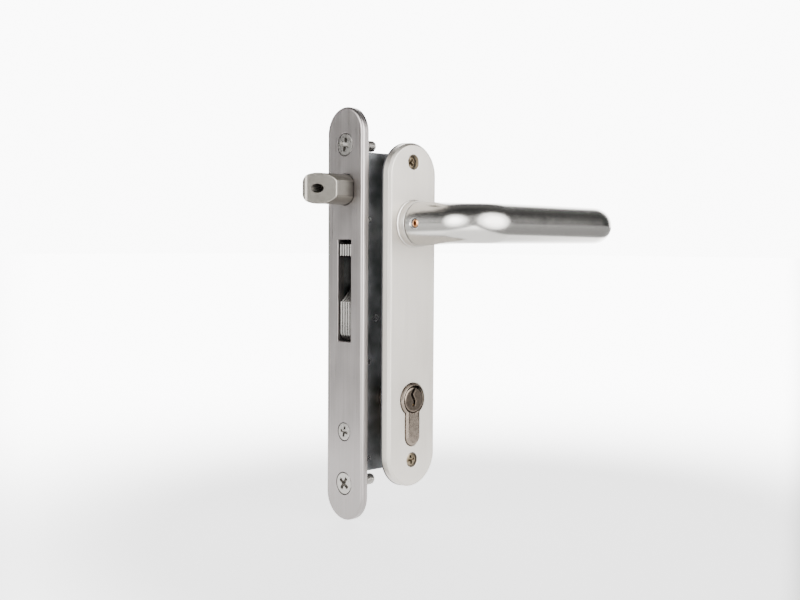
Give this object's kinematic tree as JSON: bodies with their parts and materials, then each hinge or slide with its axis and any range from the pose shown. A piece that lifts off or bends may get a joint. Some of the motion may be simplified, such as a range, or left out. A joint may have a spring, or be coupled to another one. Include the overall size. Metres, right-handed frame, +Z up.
{
  "type": "mortise gate lock",
  "caption": "Mortise gate lock with a round-ended faceplate, slanted latch, swing hook bolt, key cylinder, and a tubular lever handle on a long rounded plate.",
  "frame": {"origin": "on the back face of the faceplate, which seats on the gate's edge, in the middle of the gate's thickness and level with the lever's axis", "axes": "+X into the gate from its edge, +Y from the front face of the gate to the rear, +Z up"},
  "size_m": [0.1638, 0.1073, 0.217],
  "materials": {
    "faceplate_steel": "brushed",
    "case_steel": "satin",
    "screw_steel": "satin",
    "spring_steel": "satin",
    "latch_steel": "satin",
    "plate_aluminium": "satin anodised",
    "lever_aluminium": "satin polished",
    "cylinder_nickel": "matt nickel",
    "plug_nickel": "nickel",
    "pin_brass": "turned",
    "bearing_plastic": "matte",
    "gasket_rubber": "matte"
  },
  "bodies": {
    "case": {"faceplate": "faceplate_steel", "forend_base": "faceplate_steel", "faceplate_screws": "screw_steel", "cylinder_screw": "screw_steel", "case_tray": "case_steel", "case_cover": "case_steel", "case_rivets": "screw_steel", "plate_screw_bushes": "screw_steel", "hook_pivot_pin": "screw_steel", "lever_plate": "plate_aluminium", "plate_gasket": "gasket_rubber", "plate_screws": "screw_steel", "handle_collar": "lever_aluminium", "handle_bearing": "bearing_plastic", "slide_guide_pins": "screw_steel", "cylinder_body": "cylinder_nickel", "follower_spring": "spring_steel", "latch_spring": "spring_steel", "driver_pins": "pin_brass", "chamber_plugs": "pin_brass"},
    "lever": {"lever_handle": "lever_aluminium", "handle_set_screw": "screw_steel", "square_spindle": "screw_steel", "follower": "latch_steel"},
    "latch": {"latch_head": "latch_steel", "latch_adjusting_screw": "screw_steel", "latch_carrier": "latch_steel"},
    "hook": {"hook_plates": "latch_steel", "hook_rivets": "screw_steel", "hook_drive_pin": "screw_steel"},
    "slide": {"drive_slide": "case_steel"},
    "front_key_plug": {"front_plug": "plug_nickel", "cylinder_cam": "cylinder_nickel", "front_circlip": "spring_steel", "front_key_pins": "pin_brass"},
    "rear_key_plug": {"rear_plug": "plug_nickel", "rear_circlip": "spring_steel", "rear_key_pins": "pin_brass"}
  },
  "joints": [
    {"name": "lever_turn", "type": "hinge", "parent": "case", "child": "lever", "pos_m": [0.021, 0, 0], "axis": [0, 1, 0], "range_deg": [0, 45], "stiffness_Nm_per_rad": 0.8, "springref_deg": -45.84, "deforming": ["follower_spring"]},
    {"name": "latch_travel", "type": "slide", "parent": "case", "child": "latch", "axis": [1, 0, 0], "range_m": [0, 0.02296], "deforming": ["latch_spring"]},
    {"name": "plug_turn", "type": "hinge", "parent": "case", "child": "front_key_plug", "pos_m": [0.021, 0, -0.092], "axis": [0, -1, 0], "range_deg": [0, 70.05]},
    {"name": "hook_swing", "type": "hinge", "parent": "case", "child": "hook", "pos_m": [0.01, 0, -0.0495], "axis": [0, -1, 0], "range_deg": [0, 90.05]},
    {"name": "slide_travel", "type": "slide", "parent": "case", "child": "slide", "axis": [0, 0, 1], "range_m": [0, 0.01434]},
    {"name": "rear_plug_turn", "type": "hinge", "parent": "case", "child": "rear_key_plug", "pos_m": [0.021, 0, -0.092], "axis": [0, -1, 0], "range_deg": [0, 70]}
  ],
  "couplings": [
    {"joint": "latch_travel", "follows": "lever_turn", "m_per_rad": 0.029207},
    {"joint": "plug_turn", "follows": "slide_travel", "rad_per_m": 85.201},
    {"joint": "hook_swing", "follows": "slide_travel", "rad_per_m": 109.54}
  ]
}
